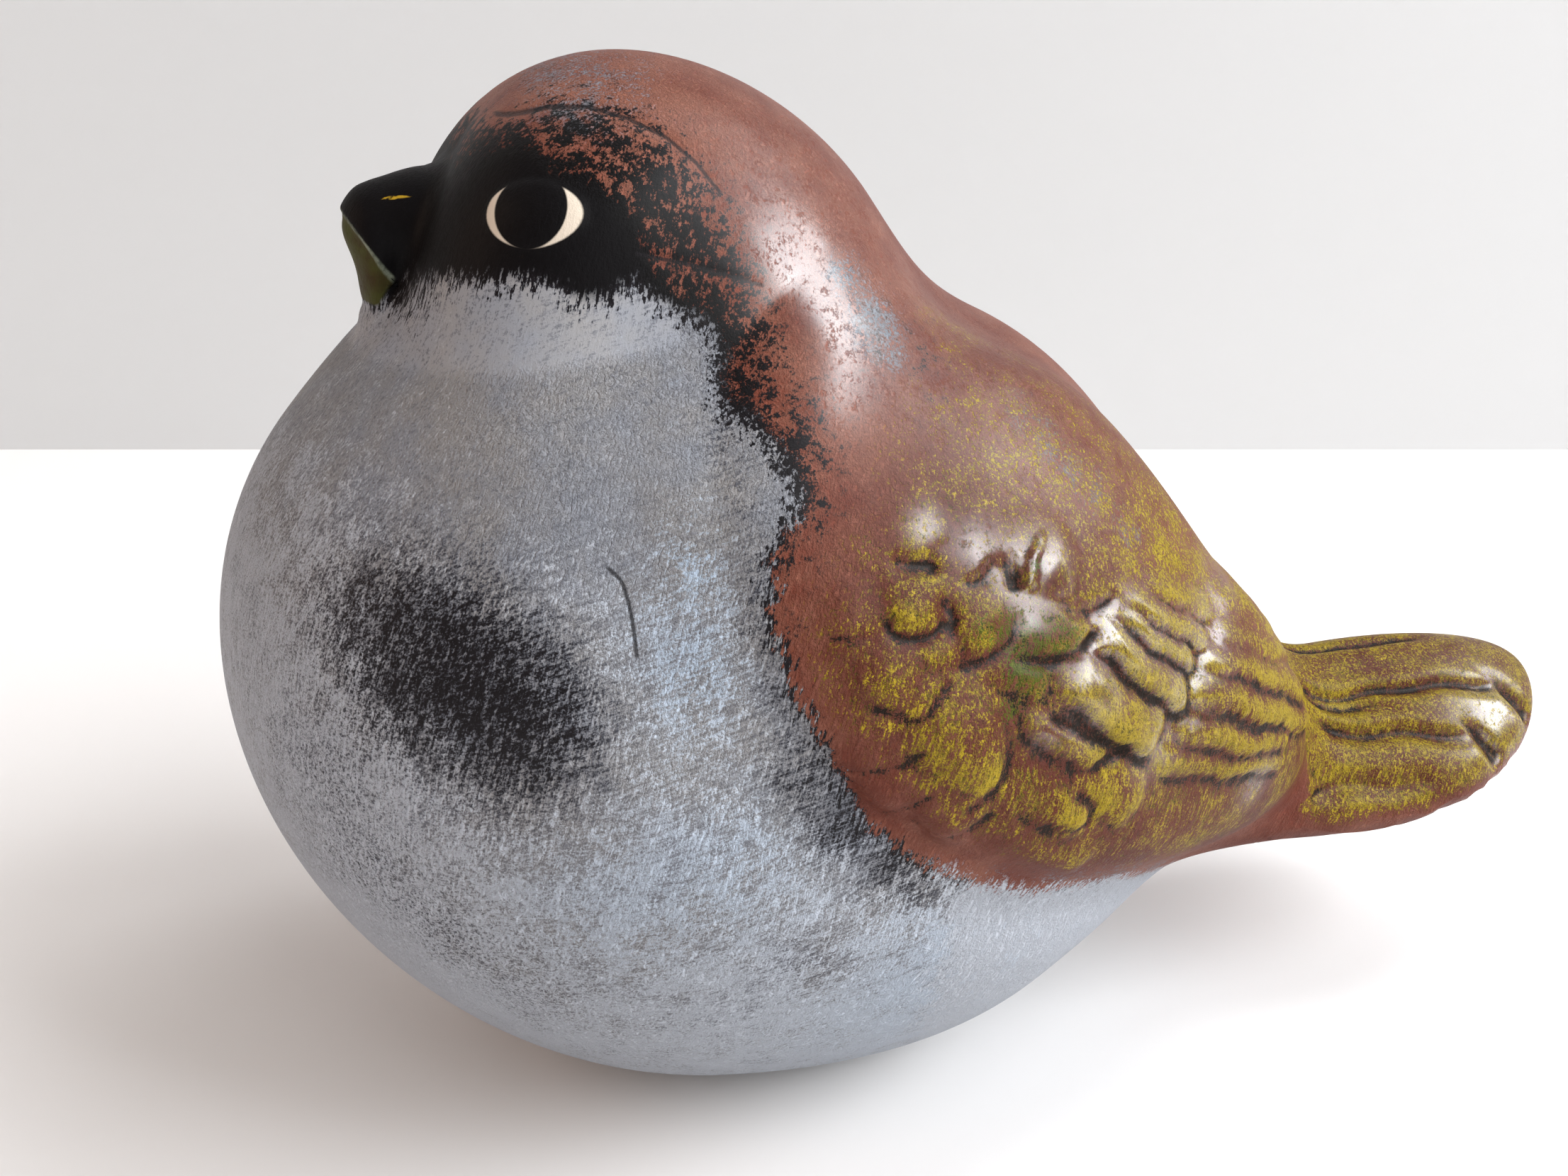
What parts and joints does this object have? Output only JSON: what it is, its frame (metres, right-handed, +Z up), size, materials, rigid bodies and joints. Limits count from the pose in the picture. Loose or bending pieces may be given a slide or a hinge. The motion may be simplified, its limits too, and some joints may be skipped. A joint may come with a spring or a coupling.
{
  "type": "bird figurine",
  "caption": "Plump ceramic garden bird figurine with folded wings and a short tail, resting on its rounded underside.",
  "frame": {"origin": "middle of the small flat under the belly, on the surface that the figurine stands on", "axes": "+X towards the tail tip, +Y towards the bird's right wing, +Z up"},
  "size_m": [0.234, 0.1286, 0.1643],
  "materials": {
    "painted_ceramic": "dry-brushed brown, grey and yellow paint under a semi-gloss varnish"
  },
  "bodies": {
    "root": {"bird_figurine": "painted_ceramic"}
  },
  "joints": []
}
